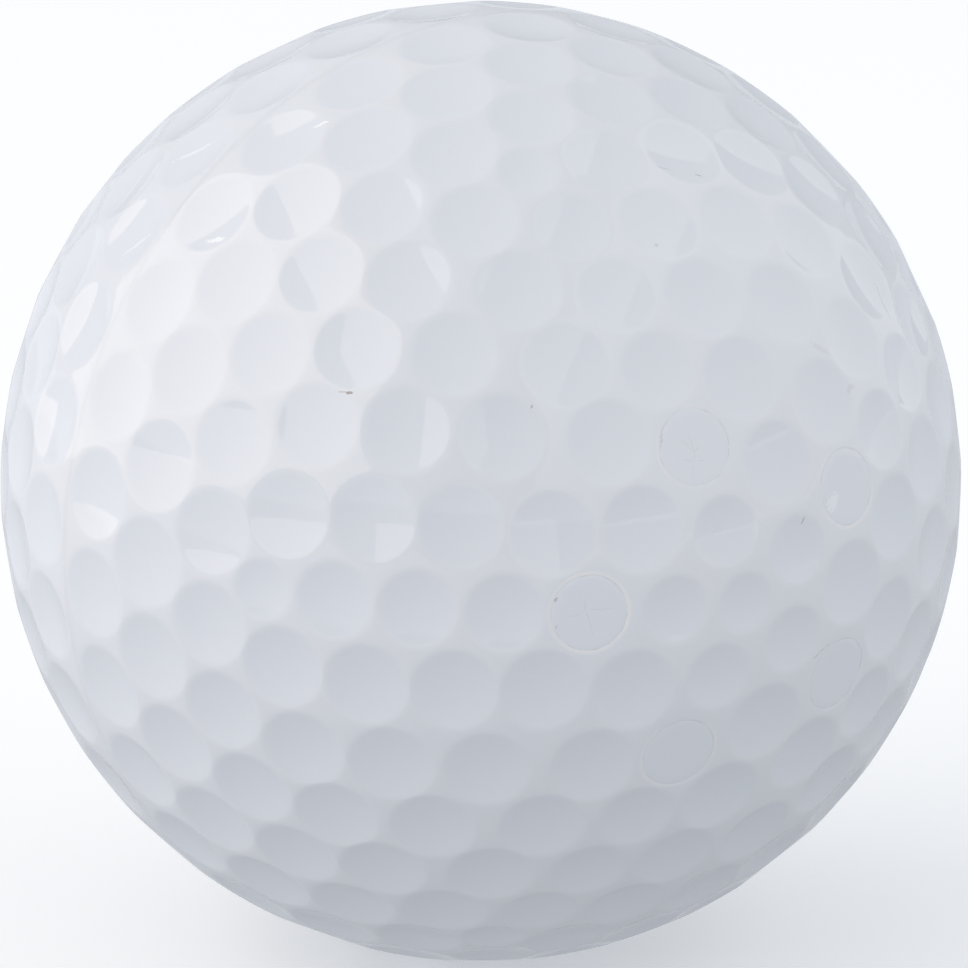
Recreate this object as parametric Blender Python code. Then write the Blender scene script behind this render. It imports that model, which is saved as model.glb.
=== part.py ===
"""Golf ball of three-piece construction: a rubber core, a mantle and a dimpled cover.

Units are metres, +Z is up.  The origin is the centre of the ball.  The pole axis of the
dimple pattern lies along X, with a dimple on each pole.  The parting line of the cover stands
upright in the plane x = 0, so the ball rests on it.  The mantle and the cover are each two
half shells that meet at that plane.  A half is modelled as it lies in its mould, with its
pole along +Z and its open side down, and is then turned into place.
"""

import math

import bmesh
import bpy
from mathutils import Matrix, Vector

# Driving dimensions of the ball, from its centre outwards.
BALL_DIAMETER = 0.04267
COVER_THICKNESS = 0.0016
MANTLE_THICKNESS = 0.0014
LAYER_GAP = 0.0003

BALL_RADIUS = BALL_DIAMETER / 2
COVER_INNER_RADIUS = BALL_RADIUS - COVER_THICKNESS
MANTLE_OUTER_RADIUS = COVER_INNER_RADIUS - LAYER_GAP
MANTLE_INNER_RADIUS = MANTLE_OUTER_RADIUS - MANTLE_THICKNESS
CORE_RADIUS = MANTLE_INNER_RADIUS - LAYER_GAP

# Dimples: the diameter of the rim, and the depth of the floor below the ball's surface.
BAND_DIMPLE = 0.0040
FIELD_DIMPLE = 0.0038
EDGE_DIMPLE = 0.0035
INNER_DIMPLE = 0.0031
SMALL_DIMPLE = 0.00275
DEPTH_PER_DIAMETER = 0.066

# Five dimples round each pole are the ends of the mould's hold pins.  Their floor is flat, takes
# up this share of the rim, and lies a step below the circle round it.
PIN_FLOOR_SHARE = 0.95
PIN_STEP = 0.00002

# The pattern of one half, in degrees.  Five edge meridians divide the cap into sectors.  Ring
# number k has k dimples in each sector, the first of them on the edge meridian.
SECTORS = 5
SECTOR_ANGLE = 360 / SECTORS
FIRST_EDGE = 51.0
# For each ring: the latitude of its side dimples, how far the edge dimple sits below them, and
# how far its neighbours are drawn towards it.
CAP_RINGS = (
    (80.8, 0.0, 0.0),
    (73.4, 3.0, 0.0),
    (64.0, 3.4, 2.2),
    (54.0, 3.4, 1.2),
    (44.0, 3.1, 0.6),
    (34.0, 2.1, 1.0),
)
PIN_RING = 2
# Three staggered rings of thirty dimples fill the band between the cap and the parting line.
BAND_COUNT = 30
BAND_RINGS = (
    (24.7, 9.0, FIELD_DIMPLE),
    (15.4, 3.0, BAND_DIMPLE),
    (5.95, 9.0, BAND_DIMPLE),
)
# The left half is the same moulding as the right one.  It faces the other way, and is turned
# about the pole axis so that its dimples stand between those of the right half.
LEFT_HALF_TURN = 48.0

# Fineness of the faceted solids.
RIM_POINTS = 10
PARTING_POINTS = 60
SHELL_SEGMENTS = 36
SHELL_RINGS = 9
CORE_SEGMENTS = 36
CORE_RINGS = 18
SHARP_ANGLE = 60.0

# Points closer than this to the parting plane lie in it.
PLANE_TOLERANCE = 1e-6


def clear_scene():
    for item in list(bpy.data.objects):
        bpy.data.objects.remove(item, do_unlink=True)


def make_material(name, colour, roughness, coat=0.0):
    material = bpy.data.materials.new(name)
    material.use_nodes = True
    shader = material.node_tree.nodes["Principled BSDF"]
    shader.inputs["Base Color"].default_value = (*colour, 1.0)
    shader.inputs["Roughness"].default_value = roughness
    shader.inputs["Metallic"].default_value = 0.0
    shader.inputs["Coat Weight"].default_value = coat
    material.diffuse_color = (*colour, 1.0)
    return material


def make_object(name, mesh, material):
    item = bpy.data.objects.new(name, mesh)
    bpy.context.scene.collection.objects.link(item)
    if material.name not in mesh.materials:
        mesh.materials.append(material)
    return item


def finish_mesh(name, bm):
    bmesh.ops.triangulate(bm, faces=bm.faces[:])
    bmesh.ops.recalc_face_normals(bm, faces=bm.faces[:])
    mesh = bpy.data.meshes.new(name)
    bm.to_mesh(mesh)
    bm.free()
    mesh.shade_smooth()
    mesh.set_sharp_from_angle(angle=math.radians(SHARP_ANGLE))
    return mesh


def direction(latitude, longitude):
    """The unit vector at a latitude and longitude in degrees."""
    lat = math.radians(latitude)
    lon = math.radians(longitude)
    return Vector((math.cos(lat) * math.cos(lon), math.cos(lat) * math.sin(lon), math.sin(lat)))


def ring_longitude(ring, place, pull):
    """Where a side dimple stands in its sector, from the edge meridian, in degrees."""
    longitude = SECTOR_ANGLE * place / ring
    if place == 1:
        longitude -= pull
    if place == ring - 1:
        longitude += pull
    return longitude


def cap_dimples():
    """The dimples of the cap as (direction, diameter, whether a hold pin made it)."""
    dimples = [(direction(90.0, 0.0), SMALL_DIMPLE, False)]
    for ring, (latitude, edge_drop, pull) in enumerate(CAP_RINGS, start=1):
        edge_size = EDGE_DIMPLE
        if ring == 1:
            edge_size = INNER_DIMPLE
        if ring == len(CAP_RINGS):
            edge_size = SMALL_DIMPLE
        for sector in range(SECTORS):
            start = FIRST_EDGE + SECTOR_ANGLE * sector
            edge = direction(latitude - edge_drop, start)
            dimples.append((edge, edge_size, ring == PIN_RING))
            for place in range(1, ring):
                side = direction(latitude, start + ring_longitude(ring, place, pull))
                dimples.append((side, FIELD_DIMPLE, False))
    return dimples


def band_dimples():
    """The dimples of the band beside the parting line, in the same form."""
    dimples = []
    for latitude, offset, diameter in BAND_RINGS:
        for place in range(BAND_COUNT):
            longitude = offset + 360 * place / BAND_COUNT
            dimples.append((direction(latitude, longitude), diameter, False))
    return dimples


def circle_on_ball(centre, diameter, count):
    """Points on the ball's surface, evenly round a centre direction."""
    tilt = math.asin(diameter / 2 / BALL_RADIUS)
    turn = Vector((0, 0, 1)).rotation_difference(centre).to_matrix()
    points = []
    for step in range(count):
        around = 2 * math.pi * step / count
        across = Vector((math.cos(around), math.sin(around), 0.0)) * math.sin(tilt)
        local = across + Vector((0.0, 0.0, math.cos(tilt)))
        points.append(turn @ local * BALL_RADIUS)
    return points


def add_dome(bm, radius, segments, rings):
    """A faceted half sphere above z = 0.  Returns the edges round its open end."""
    made = bmesh.ops.create_uvsphere(bm, u_segments=segments, v_segments=2 * rings, radius=radius)
    below = [v for v in made["verts"] if v.co.z < -PLANE_TOLERANCE]
    bmesh.ops.delete(bm, geom=below, context="VERTS")
    rim = [v for v in made["verts"] if v.is_valid and abs(v.co.z) < PLANE_TOLERANCE]
    for vertex in rim:
        vertex.co.z = 0.0
    return list({e for v in rim for e in v.link_edges if e.is_boundary})


def add_dimpled_dome(bm):
    """The outer surface of one cover half.  Returns the edges round its open end."""
    floors = []
    for centre, diameter, is_pin in cap_dimples() + band_dimples():
        for point in circle_on_ball(centre, diameter, RIM_POINTS):
            bm.verts.new(point)
        depth = diameter * DEPTH_PER_DIAMETER
        if is_pin:
            floor_diameter = diameter * PIN_FLOOR_SHARE
            for point in circle_on_ball(centre, floor_diameter, RIM_POINTS):
                floors.append((bm.verts.new(point), PIN_STEP))
            chord = math.sqrt(BALL_RADIUS**2 - (floor_diameter / 2) ** 2)
            depth = BALL_RADIUS - chord + PIN_STEP
        floors.append((bm.verts.new(centre * BALL_RADIUS), depth))
    for step in range(PARTING_POINTS):
        bm.verts.new(direction(0.0, 360 * step / PARTING_POINTS) * BALL_RADIUS)
    bmesh.ops.convex_hull(bm, input=bm.verts[:])
    flat = [f for f in bm.faces if all(abs(v.co.z) < PLANE_TOLERANCE for v in f.verts)]
    bmesh.ops.delete(bm, geom=flat, context="FACES")
    for vertex, depth in floors:
        vertex.co = vertex.co.normalized() * (BALL_RADIUS - depth)
    return [e for e in bm.edges if e.is_boundary]


def half_shell_mesh(name, add_outer, inner_radius):
    """A half shell with its flat ring face in the plane z = 0."""
    bm = bmesh.new()
    outer_rim = add_outer(bm)
    inner_rim = add_dome(bm, inner_radius, SHELL_SEGMENTS, SHELL_RINGS)
    bmesh.ops.triangle_fill(bm, edges=outer_rim + inner_rim, use_beauty=True, normal=(0, 0, -1))
    return finish_mesh(name, bm)


def place_halves(name, mesh, material, left_turn):
    """Two copies of a half, with their poles along +X and -X and their open sides together."""
    quarter = math.radians(90)
    right = make_object(name + "_right_half", mesh, material)
    right.matrix_world = Matrix.Rotation(quarter, 4, "Y")
    left = make_object(name + "_left_half", mesh, material)
    index = Matrix.Rotation(math.radians(left_turn), 4, "Z")
    left.matrix_world = Matrix.Rotation(-quarter, 4, "Y") @ index


def build_core():
    bm = bmesh.new()
    bmesh.ops.create_uvsphere(bm, u_segments=CORE_SEGMENTS, v_segments=CORE_RINGS, radius=CORE_RADIUS)
    rubber = make_material("core_rubber", (0.20, 0.36, 0.52), 0.72)
    make_object("core", finish_mesh("core", bm), rubber)


def build_mantle():
    def outer(bm):
        return add_dome(bm, MANTLE_OUTER_RADIUS, SHELL_SEGMENTS, SHELL_RINGS)

    mesh = half_shell_mesh("mantle_half", outer, MANTLE_INNER_RADIUS)
    ionomer = make_material("mantle_ionomer", (0.66, 0.70, 0.64), 0.45)
    place_halves("mantle", mesh, ionomer, 0.0)


def build_cover():
    mesh = half_shell_mesh("cover_half", add_dimpled_dome, COVER_INNER_RADIUS)
    white = make_material("cover_white", (0.80, 0.81, 0.83), 0.30, coat=0.6)
    place_halves("cover", mesh, white, LEFT_HALF_TURN)


def build():
    clear_scene()
    build_core()
    build_mantle()
    build_cover()
    bpy.context.view_layer.update()


build()
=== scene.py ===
"""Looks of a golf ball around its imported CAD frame: finely dimpled cover halves, studio and camera.

Units are metres, +Z is up, and the pole axis of the dimple pattern lies along X.  The cover
halves replace the plain CAD halves.  Each is modelled as it lies in its mould, with its pole
along +Z and its open side down, and is then turned into place.
"""

import math

import bmesh
import bpy
import numpy as np
from mathutils import Matrix, Vector


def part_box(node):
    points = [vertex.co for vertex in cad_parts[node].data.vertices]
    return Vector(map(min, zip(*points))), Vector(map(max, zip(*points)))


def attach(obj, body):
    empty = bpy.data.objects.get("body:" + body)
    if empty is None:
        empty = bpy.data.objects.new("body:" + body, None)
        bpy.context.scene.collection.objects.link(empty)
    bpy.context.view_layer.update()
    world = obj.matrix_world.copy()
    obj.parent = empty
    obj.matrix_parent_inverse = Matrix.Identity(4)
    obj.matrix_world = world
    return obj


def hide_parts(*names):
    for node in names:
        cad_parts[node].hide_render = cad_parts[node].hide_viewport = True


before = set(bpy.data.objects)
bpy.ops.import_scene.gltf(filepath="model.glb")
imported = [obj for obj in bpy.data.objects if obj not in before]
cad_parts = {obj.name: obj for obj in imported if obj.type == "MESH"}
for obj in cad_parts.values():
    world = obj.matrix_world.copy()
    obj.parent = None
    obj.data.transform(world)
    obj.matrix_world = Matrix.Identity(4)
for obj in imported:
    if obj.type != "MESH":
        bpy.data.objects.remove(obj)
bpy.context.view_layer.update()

# Ball, from the frame: its radius over the lands, and the inside of the cover.
BALL_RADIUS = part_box("cover_right_half")[1].z
COVER_THICKNESS = 0.0016
INNER_RADIUS = BALL_RADIUS - COVER_THICKNESS

# Dimples: rim diameters, depth of the floor below the ball's surface, and how softly the rim
# is rounded, as the height over which bowl and land blend.
BAND_DIMPLE = 0.0040
FIELD_DIMPLE = 0.0038
EDGE_DIMPLE = 0.0035
INNER_DIMPLE = 0.0031
SMALL_DIMPLE = 0.00275
DEPTH_PER_DIAMETER = 0.066
RIM_BLEND = 0.000042

# Hold-pin dimples: a flat floor a step below the chord of the rim, and the groove round it.
PIN_FLOOR_SHARE = 0.95
PIN_STEP = 0.00002
PIN_GROOVE_DEPTH = 0.000018
PIN_GROOVE_WIDTH = 0.022

# The pattern of one half, in degrees, as the CAD has it.
SECTORS = 5
SECTOR_ANGLE = 360 / SECTORS
FIRST_EDGE = 51.0
CAP_RINGS = (
    (80.8, 0.0, 0.0),
    (73.4, 3.0, 0.0),
    (64.0, 3.4, 2.2),
    (54.0, 3.4, 1.2),
    (44.0, 3.1, 0.6),
    (34.0, 2.1, 1.0),
)
PIN_RING = 2
BAND_COUNT = 30
BAND_RINGS = (
    (24.7, 9.0, FIELD_DIMPLE),
    (15.4, 3.0, BAND_DIMPLE),
    (5.95, 9.0, BAND_DIMPLE),
)
LEFT_HALF_TURN = 48.0

# Fineness of the cover mesh: spacing along a cell's edge, and where its rings lie, as shares of
# the rim's radius inside the bowl, and of the way from the rim to the cell's edge outside it.
# Where two rims cross, the last bowl ring stops just inside the cell's edge.
EDGE_SPACING = 0.00034
RIM_REACH = 0.97
BOWL_RINGS = (0.20, 0.40, 0.58, 0.72, 0.82, 0.89, 0.95, 1.0)
PIN_BOWL_RINGS = (0.4, 0.75, 0.90, 0.93, 0.95, 0.97, 0.985, 1.0)
LAND_RINGS = (0.25, 0.5, 0.75)
NEAR_ANGLE = math.radians(20)
INNER_SEGMENTS = 72
INNER_RINGS = 18
SHARP_ANGLE = math.radians(50)

# Points this close together, in metres, are one point, and so are directions this close, in
# radians.  Walls this near to parallel share no corner.  A corner this far past a wall still
# counts as on it, and a direction this near the parting plane as in it.
MERGE_DISTANCE = 1e-6
SAME_ANGLE = 1e-5
PARALLEL = 1e-6
CORNER_SLACK = 1e-7
PLANE_SLACK = 1e-9

# The place in a pin dimple that is given to points far from all of them.
FAR_SHARE = 9.0


def direction(latitude, longitude):
    """The unit vector at a latitude and longitude in degrees."""
    lat = math.radians(latitude)
    lon = math.radians(longitude)
    return np.array([math.cos(lat) * math.cos(lon), math.cos(lat) * math.sin(lon), math.sin(lat)])


def ring_longitude(ring, place, pull):
    """Where a side dimple stands in its sector, from the edge meridian, in degrees."""
    longitude = SECTOR_ANGLE * place / ring
    if place == 1:
        longitude -= pull
    if place == ring - 1:
        longitude += pull
    return longitude


def half_pattern():
    """The dimples of one half: centre directions, rim diameters, and which ones are pin marks."""
    found = [(direction(90.0, 0.0), SMALL_DIMPLE, False)]
    for ring, (latitude, edge_drop, pull) in enumerate(CAP_RINGS, start=1):
        edge_size = {1: INNER_DIMPLE, len(CAP_RINGS): SMALL_DIMPLE}.get(ring, EDGE_DIMPLE)
        for sector in range(SECTORS):
            start = FIRST_EDGE + SECTOR_ANGLE * sector
            found.append((direction(latitude - edge_drop, start), edge_size, ring == PIN_RING))
            for place in range(1, ring):
                side = direction(latitude, start + ring_longitude(ring, place, pull))
                found.append((side, FIELD_DIMPLE, False))
    for latitude, offset, diameter in BAND_RINGS:
        for place in range(BAND_COUNT):
            found.append((direction(latitude, offset + 360 * place / BAND_COUNT), diameter, False))
    centres = np.array([item[0] for item in found])
    diameters = np.array([item[1] for item in found])
    pins = np.array([item[2] for item in found])
    return centres, diameters, pins


def bowl_height(angle, diameter, is_pin):
    """Height over the ball's surface of one dimple's bowl, carried on past its rim."""
    rim = math.asin(diameter / 2 / BALL_RADIUS)
    share = angle / rim
    if not is_pin:
        return diameter * DEPTH_PER_DIAMETER * (share**2 - 1)
    chord = BALL_RADIUS * math.cos(rim * PIN_FLOOR_SHARE)
    groove = np.exp(-(((share - PIN_FLOOR_SHARE) / PIN_GROOVE_WIDTH) ** 2))
    return chord / np.cos(angle) - BALL_RADIUS - PIN_STEP - PIN_GROOVE_DEPTH * groove


def surface(points, pattern):
    """Height of the cover at unit directions, and each point's place in its nearest dimple."""
    centres, diameters, pins = pattern
    height = np.zeros(len(points))
    nearest = np.full(len(points), np.inf)
    pin_share = np.full(len(points), FAR_SHARE)
    for centre, diameter, is_pin in zip(centres, diameters, pins):
        chosen = np.flatnonzero(points @ centre > math.cos(NEAR_ANGLE / 2))
        angle = np.arccos(np.clip(points[chosen] @ centre, -1, 1))
        share = angle / math.asin(diameter / 2 / BALL_RADIUS)
        bowl = np.minimum(bowl_height(angle, diameter, is_pin), 2 * RIM_BLEND)
        overlap = np.maximum(RIM_BLEND - np.abs(height[chosen] - bowl), 0)
        height[chosen] = np.minimum(height[chosen], bowl) - overlap**2 / (4 * RIM_BLEND)
        nearest[chosen] = np.minimum(nearest[chosen], share)
        if is_pin:
            pin_share[chosen] = np.minimum(pin_share[chosen], share)
    return height, nearest, pin_share


def cell_corners(index, pattern):
    """The corners of the cell round one dimple, in order, on the unit sphere.

    Neighbouring cells meet on the great circle between their rims, and the cells of the last
    ring end at the parting plane."""
    centres, diameters, _ = pattern
    scaled = centres / np.cos(np.arcsin(diameters / 2 / BALL_RADIUS))[:, None]
    near = np.flatnonzero(centres @ centres[index] > math.cos(NEAR_ANGLE))
    walls = [scaled[index] - scaled[other] for other in near if other != index]
    walls.append(np.array([0.0, 0.0, 1.0]))
    walls = np.array([wall / np.linalg.norm(wall) for wall in walls])
    first, second = np.triu_indices(len(walls), 1)
    corners = np.cross(walls[first], walls[second])
    length = np.linalg.norm(corners, axis=1)
    corners = corners[length > PARALLEL] / length[length > PARALLEL][:, None]
    corners *= np.sign(corners @ centres[index])[:, None]
    inside = (corners @ walls.T).min(axis=1) > -CORNER_SLACK
    corners = corners[inside & (corners @ centres[index] > math.cos(NEAR_ANGLE))]
    across, along = tangents(centres[index])
    order = np.argsort(np.arctan2(corners @ along, corners @ across))
    return corners[order]


def tangents(centre):
    """Two unit vectors that span the tangent plane at a direction."""
    helper = np.array([0.0, 0.0, 1.0]) if abs(centre[2]) < 0.9 else np.array([1.0, 0.0, 0.0])
    across = np.cross(helper, centre)
    across /= np.linalg.norm(across)
    return across, np.cross(centre, across)


def arc_points(start, end):
    """Points on the great circle from start, up to but without end, at the mesh's spacing."""
    angle = math.acos(min(1.0, float(start @ end)))
    if angle < SAME_ANGLE:
        return []
    count = max(1, round(angle * BALL_RADIUS / EDGE_SPACING))
    steps = np.arange(count)[:, None] / count
    blend = np.sin((1 - steps) * angle) * start + np.sin(steps * angle) * end
    return list(blend / math.sin(angle))


def cell_grid(index, pattern):
    """One cell as rings of unit directions, all with the same number of points."""
    centres, diameters, pins = pattern
    corners = cell_corners(index, pattern)
    edge = []
    for start, end in zip(corners, np.roll(corners, -1, axis=0)):
        edge += arc_points(start, end)
    edge = np.array(edge)
    centre = centres[index]
    rim = math.asin(diameters[index] / 2 / BALL_RADIUS)
    reach = np.arccos(np.clip(edge @ centre, -1, 1))
    rim = np.minimum(rim, reach * RIM_REACH)
    outward = edge - (edge @ centre)[:, None] * centre
    outward /= np.linalg.norm(outward, axis=1)[:, None]
    shares = PIN_BOWL_RINGS if pins[index] else BOWL_RINGS
    angles = [rim * share for share in shares]
    angles += [rim + (reach - rim) * share for share in LAND_RINGS]
    rings = [np.cos(a)[:, None] * centre + np.sin(a)[:, None] * outward for a in angles]
    return centre, rings + [edge]


def outer_surface(pattern):
    """All cells of a half as one list of unit directions, with the faces between them."""
    points = []
    faces = []
    for index in range(len(pattern[0])):
        centre, rings = cell_grid(index, pattern)
        hub = len(points)
        around = len(rings[0])
        points.append(centre)
        for ring in rings:
            points.extend(ring)
        for step in range(around):
            after = (step + 1) % around
            faces.append((hub, hub + 1 + step, hub + 1 + after))
            for ring in range(len(rings) - 1):
                low = hub + 1 + ring * around
                high = low + around
                faces.append((low + step, high + step, high + after, low + after))
    return np.array(points), faces


def add_inner_dome(bm):
    """The plain inside of a half shell.  Returns the edges round its open end."""
    made = bmesh.ops.create_uvsphere(
        bm, u_segments=INNER_SEGMENTS, v_segments=2 * INNER_RINGS, radius=INNER_RADIUS
    )
    below = [v for v in made["verts"] if v.co.z < -MERGE_DISTANCE]
    bmesh.ops.delete(bm, geom=below, context="VERTS")
    rim = [v for v in made["verts"] if v.is_valid and abs(v.co.z) < MERGE_DISTANCE]
    for vertex in rim:
        vertex.co.z = 0.0
    return list({e for v in rim for e in v.link_edges if e.is_boundary})


def cover_half_mesh():
    """A closed half shell with smooth dimples.

    Two attributes say where a point lies in its nearest dimple and in its nearest pin dimple, as
    shares of the rim's angle."""
    pattern = half_pattern()
    points, faces = outer_surface(pattern)
    height, share, pin_share = surface(points, pattern)
    on_parting = points[:, 2] < PLANE_SLACK
    places = points * (BALL_RADIUS + height)[:, None]
    places[on_parting, 2] = 0.0
    bm = bmesh.new()
    share_layer = bm.verts.layers.float.new("dimple_share")
    pin_layer = bm.verts.layers.float.new("pin_share")
    vertices = [bm.verts.new(place) for place in places]
    for vertex, here, pin in zip(vertices, share, pin_share):
        vertex[share_layer] = here
        vertex[pin_layer] = pin
    for face in faces:
        bm.faces.new([vertices[corner] for corner in face])
    bmesh.ops.remove_doubles(bm, verts=bm.verts[:], dist=MERGE_DISTANCE)
    outer_rim = [e for e in bm.edges if e.is_boundary]
    inner_rim = add_inner_dome(bm)
    bmesh.ops.triangle_fill(bm, edges=outer_rim + inner_rim, use_beauty=True, normal=(0, 0, -1))
    bmesh.ops.recalc_face_normals(bm, faces=bm.faces[:])
    mesh = bpy.data.meshes.new("cover_half")
    bm.to_mesh(mesh)
    bm.free()
    mesh.shade_smooth()
    mesh.set_sharp_from_angle(angle=SHARP_ANGLE)
    return mesh


def on_right_half(latitude, longitude):
    """The unit vector, in the ball's frame, of a latitude and longitude of the right half."""
    x, y, z = direction(latitude, longitude)
    return np.array([z, y, -x])


class Nodes:
    """A material's node tree, with short ways to add and join its nodes."""

    def __init__(self, name):
        self.material = bpy.data.materials.new(name)
        self.material.use_nodes = True
        self.tree = self.material.node_tree
        self.shader = self.tree.nodes["Principled BSDF"]

    def join(self, value, socket):
        if isinstance(value, bpy.types.NodeSocket):
            self.tree.links.new(value, socket)
        elif value is not None:
            socket.default_value = value

    def math(self, operation, first, second=None):
        node = self.tree.nodes.new("ShaderNodeMath")
        node.operation = operation
        self.join(first, node.inputs[0])
        self.join(second, node.inputs[1])
        return node.outputs[0]

    def smooth(self, value, low, high, out_low=0.0, out_high=1.0):
        """A smooth step from out_low to out_high as value goes from low to high."""
        node = self.tree.nodes.new("ShaderNodeMapRange")
        node.interpolation_type = "SMOOTHSTEP"
        self.join(value, node.inputs["Value"])
        node.inputs["From Min"].default_value = low
        node.inputs["From Max"].default_value = high
        node.inputs["To Min"].default_value = out_low
        node.inputs["To Max"].default_value = out_high
        return node.outputs["Result"]

    def mix(self, factor, first, second):
        """Two colours mixed by a factor."""
        node = self.tree.nodes.new("ShaderNodeMix")
        node.data_type = "RGBA"
        self.join(factor, node.inputs["Factor"])
        self.join(first, node.inputs["A"])
        self.join(second, node.inputs["B"])
        return node.outputs["Result"]

    def position(self):
        return self.tree.nodes.new("ShaderNodeTexCoord").outputs["Object"]

    def attribute(self, name):
        node = self.tree.nodes.new("ShaderNodeAttribute")
        node.attribute_name = name
        return node.outputs["Fac"]

    def noise(self, scale, detail=3.0, distortion=0.0, place=None):
        node = self.tree.nodes.new("ShaderNodeTexNoise")
        self.join(place if place is not None else self.position(), node.inputs["Vector"])
        node.inputs["Scale"].default_value = scale
        node.inputs["Detail"].default_value = detail
        node.inputs["Distortion"].default_value = distortion
        return node.outputs["Fac"]

    def dot(self, first, second):
        node = self.tree.nodes.new("ShaderNodeVectorMath")
        node.operation = "DOT_PRODUCT"
        self.join(first, node.inputs[0])
        self.join(second, node.inputs[1])
        return node.outputs["Value"]

    def offset_from(self, place, position=None):
        """The vector from a place to the position, or to the point that is being shaded."""
        node = self.tree.nodes.new("ShaderNodeVectorMath")
        node.operation = "SUBTRACT"
        self.join(position or self.position(), node.inputs[0])
        self.join(place, node.inputs[1])
        return node.outputs["Vector"]

    def scaled(self, factors):
        node = self.tree.nodes.new("ShaderNodeVectorMath")
        node.operation = "MULTIPLY"
        self.join(self.position(), node.inputs[0])
        self.join(factors, node.inputs[1])
        return node.outputs["Vector"]

    def wavering(self, scale, reach):
        """The position, shifted each way by a noise of that scale, by up to half the reach."""
        node = self.tree.nodes.new("ShaderNodeTexNoise")
        self.join(self.position(), node.inputs["Vector"])
        node.inputs["Scale"].default_value = scale
        shift = self.tree.nodes.new("ShaderNodeVectorMath")
        shift.operation = "MULTIPLY_ADD"
        self.join(node.outputs["Color"], shift.inputs[0])
        self.join((reach, reach, reach), shift.inputs[1])
        centred = self.tree.nodes.new("ShaderNodeVectorMath")
        centred.operation = "SUBTRACT"
        self.join(self.position(), centred.inputs[0])
        self.join((reach / 2, reach / 2, reach / 2), centred.inputs[1])
        self.join(centred.outputs["Vector"], shift.inputs[2])
        return shift.outputs["Vector"]

    def band(self, value, low, high, edge):
        """One between low and high, falling to nought over the edge's width outside them."""
        rise = self.smooth(value, low - edge, low)
        fall = self.smooth(value, high, high + edge, 1.0, 0.0)
        return self.math("MULTIPLY", rise, fall)

    def mark(self, latitude, longitude, turn, length, width, one_way=False):
        """A ragged oval blot on the cover, as a mask.  Angles in degrees, sizes in metres.

        It is centred on its place, or starts there if it goes one way only."""
        centre = on_right_half(latitude, longitude)
        across, along = tangents(centre)
        angle = math.radians(turn)
        major = across * math.cos(angle) + along * math.sin(angle)
        minor = along * math.cos(angle) - across * math.sin(angle)
        wavering = self.wavering(WAVER_SCALE, WAVER_REACH)
        offset = self.offset_from(tuple(centre * BALL_RADIUS), wavering)
        first = self.math("DIVIDE", self.dot(offset, tuple(major)), length / 2)
        if one_way:
            first = self.math("SUBTRACT", first, 1.0)
        second = self.math("DIVIDE", self.dot(offset, tuple(minor)), width / 2)
        first = self.math("MULTIPLY", first, first)
        second = self.math("MULTIPLY", second, second)
        squares = self.math("ADD", first, second)
        wobble = self.smooth(self.noise(RAGGED_SCALE, 4.0), 0.3, 0.7, -RAGGED_DEPTH, RAGGED_DEPTH)
        blot = self.smooth(self.math("ADD", squares, wobble), *MARK_FADE, 1.0, 0.0)
        near_side = self.math("GREATER_THAN", self.dot(self.position(), tuple(centre)), 0.0)
        return self.math("MULTIPLY", blot, near_side)

    def bump(self, height, strength, distance):
        node = self.tree.nodes.new("ShaderNodeBump")
        self.join(height, node.inputs["Height"])
        node.inputs["Strength"].default_value = strength
        node.inputs["Distance"].default_value = distance
        self.join(node.outputs["Normal"], self.shader.inputs["Normal"])
        self.join(node.outputs["Normal"], self.shader.inputs["Coat Normal"])


# How the outlines of marks waver: the scale of the noise and how far it shifts them, and the
# scale and depth of the finer raggedness.  A mark fades out between two values of the squared
# distance from its centre, in units of its half length and half width.
WAVER_SCALE = 2600.0
WAVER_REACH = 0.0002
RAGGED_SCALE = 6000.0
RAGGED_DEPTH = 0.5
MARK_FADE = (0.45, 1.0)

# The cover's whites: the bowls' white is painted shade, darker and bluer than the warmer white of the
# lands, which stands for their light.
BOWL_SHADE_WHITE = (0.792, 0.811, 0.848, 1.0)
LIT_LAND_WHITE = (0.811, 0.818, 0.838, 1.0)
WITNESS_CREAM = (0.92, 0.89, 0.86, 1.0)
# A dark grey for the painted shade along the hold-pin grooves.
GROOVE_SHADE_GREY = (0.50, 0.45, 0.42, 1.0)
CRACK_GREY = (0.58, 0.59, 0.62, 1.0)
SOIL_BROWN = (0.30, 0.22, 0.18, 1.0)
SOIL_GREY = (0.28, 0.28, 0.31, 1.0)
# Pure white for painted glints and painted reflections, and for one whitish blot.
GLINT_AND_BLOT_WHITE = (1.0, 1.0, 1.0, 1.0)

# Marks on the cover: latitude, longitude, turn, length, width, strength.  A latitude below zero
# lies past the parting line, on the left half.  The brown ones are specks of soil and scuffs, the
# grey ones nicks and hairline scratches, and the white ones painted glints and painted reflections
# of the soft box in the gloss, besides one whitish blot.
BROWN_MARKS = (
    (36.1, 237.0, 8.0, 0.00030, 0.00016, 0.75),
    (35.2, 237.3, 5.0, 0.00045, 0.00010, 0.35),
    (46.5, 183.0, 0.0, 0.00022, 0.00014, 0.25),
    (58.1, 149.0, 140.0, 0.0013, 0.0003, 0.09),
    (60.3, 137.3, 20.0, 0.0006, 0.0003, 0.11),
    (66.4, 262.7, 60.0, 0.00026, 0.00011, 0.42),
    (66.6, 271.0, 80.0, 0.00022, 0.00009, 0.25),
    (67.6, 204.0, 75.0, 0.00080, 0.00018, 0.20),
)
GREY_MARKS = (
    (54.7, 222.7, 80.0, 0.00024, 0.00012, 0.48),
    (78.1, 133.0, 60.0, 0.00045, 0.00010, 0.40),
    (44.4, 131.6, 68.0, 0.0022, 0.00006, 0.35),
    (36.5, 175.4, 160.0, 0.0009, 0.00006, 0.30),
    (37.5, 169.9, 145.0, 0.0004, 0.00009, 0.45),
    (75.4, 55.0, 30.0, 0.0016, 0.00006, 0.30),
)
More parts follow.
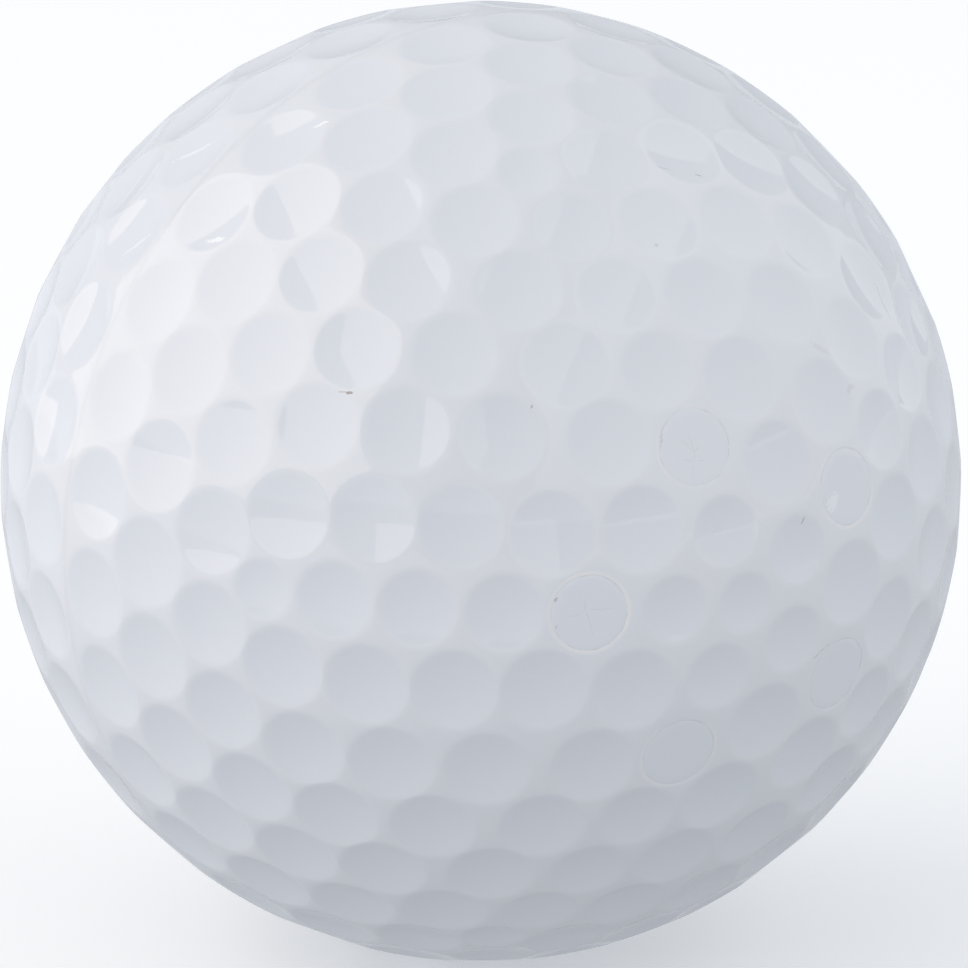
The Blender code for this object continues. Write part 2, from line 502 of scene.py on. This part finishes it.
# Painted glints and painted reflections of the soft box, as white in the base colour, and one whitish
# blot.
GLINTS_AND_BLOT = (
    (28.2, 155.2, 140.0, 0.0013, 0.00008, 1.0),
    (8.4, 208.7, 35.0, 0.0008, 0.00018, 1.0),
    (9.0, 227.6, 20.0, 0.0012, 0.00030, 0.9),
    (73.3, 124.0, 50.0, 0.0011, 0.00070, 0.35),
    (-7.0, 218.4, 54.0, 0.0025, 0.00025, 0.60),
    (-4.3, 232.1, 51.0, 0.0018, 0.00020, 0.50),
    (-15.4, 225.6, 110.0, 0.0030, 0.00022, 0.35),
)

# Witness marks of the hold pins, and painted shade in their grooves: where the cream ring and the
# dark line of painted shade lie, as shares of the rim's angle, how wide their soft edges are, and how
# strong they are at most.  One pin, at this latitude and longitude, left a whole ring, and this
# treatment fades out over these distances from the pin's centre.  The rings of the others are patchy.
RING_SPAN = (0.97, 1.04, 0.025)
GROOVE_SHADE_SPAN = (0.943, 0.957, 0.012)
GROOVE_SHADE_STRENGTH = 0.3
PATCHY_STRENGTH = 0.3
WHOLE_STRENGTH = 0.35
WHOLE_EXTRA = 0.25
WHOLE_PIN = (70.4, 267.0)
WHOLE_FADE = (0.0022, 0.0040)

# Hairline cracks that spread from points in two hold-pin marks: latitude, longitude, and the turn
# and length of each crack.
CRACK_STARS = (
    (70.0, 265.9, ((95.0, 0.0006), (205.0, 0.0009), (0.0, 0.0012), (285.0, 0.0012))),
    (71.8, 197.1, ((80.0, 0.0004), (255.0, 0.0007), (170.0, 0.0005), (350.0, 0.0008))),
    (70.9, 195.7, ((100.0, 0.0009), (30.0, 0.0004), (130.0, 0.0009))),
)
CRACK_WIDTH = 0.00006
CRACK_STRENGTH = 0.26

# Height of the ripples in the gloss coat, the shares of it that its fine peel and its slower
# waves have, and how far from the parting plane the buffed seam fades out.
COAT_RIPPLE = 0.00001
PEEL_SHARE = 0.25
WAVE_SHARE = 0.45
SEAM_FADE = (0.0004, 0.0013)


def pin_marks(n, colour):
    """Witness ring, a dark line of painted shade along the groove, and hairline cracks of the
    hold-pin dimples.
    """
    pin = n.attribute("pin_share")
    patchy = n.smooth(n.noise(330.0, 2.0), 0.42, 0.62)
    offset = n.offset_from(tuple(on_right_half(*WHOLE_PIN) * BALL_RADIUS))
    whole = n.smooth(n.math("SQRT", n.dot(offset, offset)), *WHOLE_FADE, 1.0, 0.0)
    uneven = n.math("ADD", n.math("MULTIPLY", patchy, WHOLE_EXTRA), WHOLE_STRENGTH)
    elsewhere = n.math("MULTIPLY", patchy, PATCHY_STRENGTH)
    strength = n.math("MAXIMUM", n.math("MULTIPLY", whole, uneven), elsewhere)
    ring = n.math("MULTIPLY", n.band(pin, *RING_SPAN), strength)
    colour = n.mix(ring, colour, WITNESS_CREAM)
    # The dark line along the pin groove is painted shade, broken up by noise.
    flecks = n.smooth(n.noise(1500.0, 3.0), 0.50, 0.66, 0.0, GROOVE_SHADE_STRENGTH)
    line = n.math("MULTIPLY", n.band(pin, *GROOVE_SHADE_SPAN), flecks)
    colour = n.mix(line, colour, GROOVE_SHADE_GREY)
    for latitude, longitude, cracks in CRACK_STARS:
        for turn, length in cracks:
            crack = n.mark(latitude, longitude, turn, length, CRACK_WIDTH, one_way=True)
            colour = n.mix(n.math("MULTIPLY", crack, CRACK_STRENGTH), colour, CRACK_GREY)
    return colour


def cover_material():
    """White ionomer under a clear gloss coat, with painted shade that makes the dimple bowls darker
    and bluer than the warmer lands, moulding marks, and painted glints and reflections.
    """
    n = Nodes("cover_white")
    # Painted shade and light: the dimple bowls are darker and bluer and the lands warmer, varied at
    # random by a cloud noise.
    land = n.smooth(n.attribute("dimple_share"), 0.85, 1.06)
    cloud = n.smooth(n.noise(160.0, 4.0), 0.35, 0.75, 0.35, 1.0)
    colour = n.mix(n.math("MULTIPLY", land, cloud), BOWL_SHADE_WHITE, LIT_LAND_WHITE)
    colour = pin_marks(n, colour)
    # The white marks are painted glints and painted reflections, besides one whitish blot.
    kinds = ((BROWN_MARKS, SOIL_BROWN), (GREY_MARKS, SOIL_GREY), (GLINTS_AND_BLOT, GLINT_AND_BLOT_WHITE))
    for marks, tint in kinds:
        for *place, strength in marks:
            colour = n.mix(n.math("MULTIPLY", n.mark(*place), strength), colour, tint)
    n.join(colour, n.shader.inputs["Base Color"])
    n.shader.inputs["Roughness"].default_value = 0.5
    n.shader.inputs["IOR"].default_value = 1.2
    n.shader.inputs["Subsurface Weight"].default_value = 0.15
    n.shader.inputs["Subsurface Radius"].default_value = (1.0, 0.95, 0.9)
    n.shader.inputs["Subsurface Scale"].default_value = 0.0006
    n.shader.inputs["Coat Weight"].default_value = 1.0
    n.shader.inputs["Coat Roughness"].default_value = 0.012
    n.shader.inputs["Coat IOR"].default_value = 1.62
    beside = n.math("ABSOLUTE", n.dot(n.position(), (1.0, 0.0, 0.0)))
    seam = n.smooth(beside, *SEAM_FADE, 1.0, 0.0)
    buffed = n.math("MULTIPLY", seam, n.noise(900.0, 4.0, 1.0, n.scaled((3.0, 1.0, 1.0))))
    peel = n.math("MULTIPLY", n.noise(1100.0, 2.0), PEEL_SHARE)
    waves = n.math("MULTIPLY", n.noise(420.0, 2.0), WAVE_SHARE)
    n.bump(n.math("ADD", buffed, n.math("ADD", peel, waves)), 1.0, COAT_RIPPLE)
    return n.material


def core_material():
    """Dull moulded rubber with a fine grain."""
    n = Nodes("core_rubber")
    grain = n.noise(900.0, 5.0)
    colour = n.mix(n.smooth(grain, 0.3, 0.7), (0.16, 0.30, 0.45, 1.0), (0.24, 0.41, 0.58, 1.0))
    n.join(colour, n.shader.inputs["Base Color"])
    n.join(n.smooth(grain, 0.2, 0.8, 0.62, 0.82), n.shader.inputs["Roughness"])
    n.bump(grain, 0.4, 0.0001)
    return n.material


def mantle_material():
    """Plain milky ionomer with faint flow marks."""
    n = Nodes("mantle_ionomer")
    flow = n.noise(140.0, 4.0, 1.5)
    colour = n.mix(n.smooth(flow, 0.3, 0.7), (0.60, 0.66, 0.60, 1.0), (0.70, 0.74, 0.68, 1.0))
    n.join(colour, n.shader.inputs["Base Color"])
    n.join(n.smooth(flow, 0.2, 0.8, 0.38, 0.55), n.shader.inputs["Roughness"])
    n.bump(flow, 0.2, 0.00005)
    return n.material


def place_covers():
    """Both halves with their poles along +X and -X, riding on the ball's one body."""
    mesh = cover_half_mesh()
    mesh.materials.append(cover_material())
    quarter = math.radians(90)
    index = Matrix.Rotation(math.radians(LEFT_HALF_TURN), 4, "Z")
    turns = {
        "right": Matrix.Rotation(quarter, 4, "Y"),
        "left": Matrix.Rotation(-quarter, 4, "Y") @ index,
    }
    for side, turn in turns.items():
        turned = mesh.copy()
        turned.transform(turn)
        piece = bpy.data.objects.new(f"cover_shell_{side}", turned)
        bpy.context.scene.collection.objects.link(piece)
        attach(piece, "root")
        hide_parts(f"cover_{side}_half")


def dress_inner_layers():
    """Materials for the CAD nodes that stay: core and mantle."""
    rubber = core_material()
    ionomer = mantle_material()
    finishes = {"core": rubber, "mantle_right_half": ionomer, "mantle_left_half": ionomer}
    for name, material in finishes.items():
        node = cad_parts[name]
        for slot in node.material_slots:
            slot.material = material


# Camera, in degrees and metres.
CAMERA_AZIMUTH = 57.95
CAMERA_ELEVATION = 16.70
CAMERA_DISTANCE = 20.67 * BALL_RADIUS
CAMERA_LENS = 369.0
CAMERA_SHIFT = 0.0030


def camera_axes():
    """The camera's right, up and backward directions."""
    azimuth = math.radians(CAMERA_AZIMUTH)
    elevation = math.radians(CAMERA_ELEVATION)
    back = Vector((
        math.sin(azimuth) * math.cos(elevation),
        -math.cos(azimuth) * math.cos(elevation),
        math.sin(elevation),
    ))
    right = Vector((math.cos(azimuth), math.sin(azimuth), 0.0))
    return right, back.cross(right), back


def oriented(right, up, back, place):
    """A matrix that stands an object at a place, looking against the back direction."""
    turn = Matrix((right, up, back)).transposed().to_4x4()
    return Matrix.Translation(place) @ turn


def make_camera():
    right, up, back = camera_axes()
    data = bpy.data.cameras.new("camera")
    data.lens = CAMERA_LENS
    data.sensor_width = 36.0
    data.shift_x = CAMERA_SHIFT
    data.shift_y = -CAMERA_SHIFT
    data.clip_start = 0.01
    data.clip_end = 20.0
    camera = bpy.data.objects.new("camera", data)
    bpy.context.scene.collection.objects.link(camera)
    camera.matrix_world = oriented(right, up, back, back * CAMERA_DISTANCE)
    bpy.context.scene.camera = camera


FLOOR_SIZE = 4.0
FLOOR_GLOW = 0.16


def make_floor():
    """A pale table.  It takes the ball's shadow but throws no light back: the lower half of the
    studio's surround does that, darkest straight below, where the ball shades the table."""
    bpy.ops.mesh.primitive_plane_add(size=FLOOR_SIZE, location=(0, 0, -BALL_RADIUS))
    floor = bpy.context.object
    floor.name = "floor"
    floor.visible_diffuse = False
    floor.visible_glossy = False
    floor.visible_shadow = False
    n = Nodes("floor_pale")
    n.shader.inputs["Base Color"].default_value = (0.95, 0.95, 0.94, 1.0)
    n.shader.inputs["Roughness"].default_value = 0.8
    n.shader.inputs["Specular IOR Level"].default_value = 0.0
    n.shader.inputs["Emission Color"].default_value = (1.0, 1.0, 1.0, 1.0)
    n.shader.inputs["Emission Strength"].default_value = FLOOR_GLOW
    floor.data.materials.append(n.material)


# How far the planes of the soft boxes are from the ball.
PANEL_DISTANCE = 0.5


def light_panel(name, along, up, edges, radiance, colour):
    """An upright soft box in the plane that along and up span, PANEL_DISTANCE from the ball.

    Its left, right, low and high edges are given in that plane, in units of that distance."""
    left, right, low, high = edges
    along = Vector(along).normalized()
    up = (Vector(up) - Vector(up).dot(along) * along).normalized()
    out = along.cross(up)
    place = (along * (left + right) / 2 + up * (low + high) / 2 + out) * PANEL_DISTANCE
    data = bpy.data.lights.new(name, "AREA")
    data.shape = "RECTANGLE"
    data.size = (right - left) * PANEL_DISTANCE
    data.size_y = (high - low) * PANEL_DISTANCE
    data.energy = radiance * math.pi * data.size * data.size_y
    data.color = colour
    light = bpy.data.objects.new(name, data)
    bpy.context.scene.collection.objects.link(light)
    light.matrix_world = oriented(along, up, out, place)


def make_lights():
    light_panel(
        "panel_left",
        along=(0.85, -0.51, 0.16),
        up=(-0.14, 0.08, 0.99),
        edges=(-0.62, 1.95, 0.01, 1.76),
        radiance=0.775,
        colour=(1.11, 1.0, 0.88),
    )
    light_panel(
        "panel_right",
        along=(-0.80, 0.59, 0.03),
        up=(0.02, -0.03, 1.0),
        edges=(-3.1, 1.29, -0.02, 2.1),
        radiance=0.46,
        colour=(1.0, 1.0, 0.97),
    )


# The studio round the ball: how its light changes with direction, and its level, above and below
# table height.  On the far side, behind the ball, it drops to less.
WALL_SLOPE = (-0.156, -0.077, 0.06)
WALL_LEVEL = 0.593
TABLE_SLOPE = (-0.093, -0.103, 0.526)
TABLE_LEVEL = 0.877
FAR_SIDE = (-0.81, 0.51, -0.29)
FAR_SIDE_EDGE = (0.70, 0.95)
FAR_SIDE_DROP = 0.11
STUDIO_COLOUR = (0.953, 1.0, 1.078, 1.0)


def make_surround():
    """A dim studio, brighter on the side of the left panel, with a step at table height."""
    world = bpy.data.worlds.new("studio")
    world.use_nodes = True
    tree = world.node_tree
    outward = tree.nodes.new("ShaderNodeTexCoord").outputs["Generated"]

    def combine(kind, operation, first, second):
        node = tree.nodes.new(kind)
        node.operation = operation
        for value, socket in ((first, node.inputs[0]), (second, node.inputs[1])):
            if isinstance(value, bpy.types.NodeSocket):
                tree.links.new(value, socket)
            else:
                socket.default_value = value
        return node.outputs["Value"]

    def along(vector):
        return combine("ShaderNodeVectorMath", "DOT_PRODUCT", outward, vector)

    def maths(operation, first, second):
        return combine("ShaderNodeMath", operation, first, second)

    above = maths("GREATER_THAN", along((0.0, 0.0, 1.0)), 0.0)
    below = maths("SUBTRACT", 1.0, above)
    walls = maths("MULTIPLY", maths("ADD", along(WALL_SLOPE), WALL_LEVEL), above)
    table = maths("MULTIPLY", maths("ADD", along(TABLE_SLOPE), TABLE_LEVEL), below)
    drop = tree.nodes.new("ShaderNodeMapRange")
    drop.interpolation_type = "SMOOTHSTEP"
    tree.links.new(along(FAR_SIDE), drop.inputs["Value"])
    drop.inputs["From Min"].default_value = FAR_SIDE_EDGE[0]
    drop.inputs["From Max"].default_value = FAR_SIDE_EDGE[1]
    drop.inputs["To Min"].default_value = 0.0
    drop.inputs["To Max"].default_value = -FAR_SIDE_DROP
    strength = maths("ADD", maths("ADD", walls, table), drop.outputs["Result"])
    background = tree.nodes["Background"]
    background.inputs["Color"].default_value = STUDIO_COLOUR
    tree.links.new(strength, background.inputs["Strength"])
    bpy.context.scene.world = world


bpy.context.scene.view_settings.view_transform = "Standard"
make_camera()
place_covers()
dress_inner_layers()
make_floor()
make_surround()
make_lights()
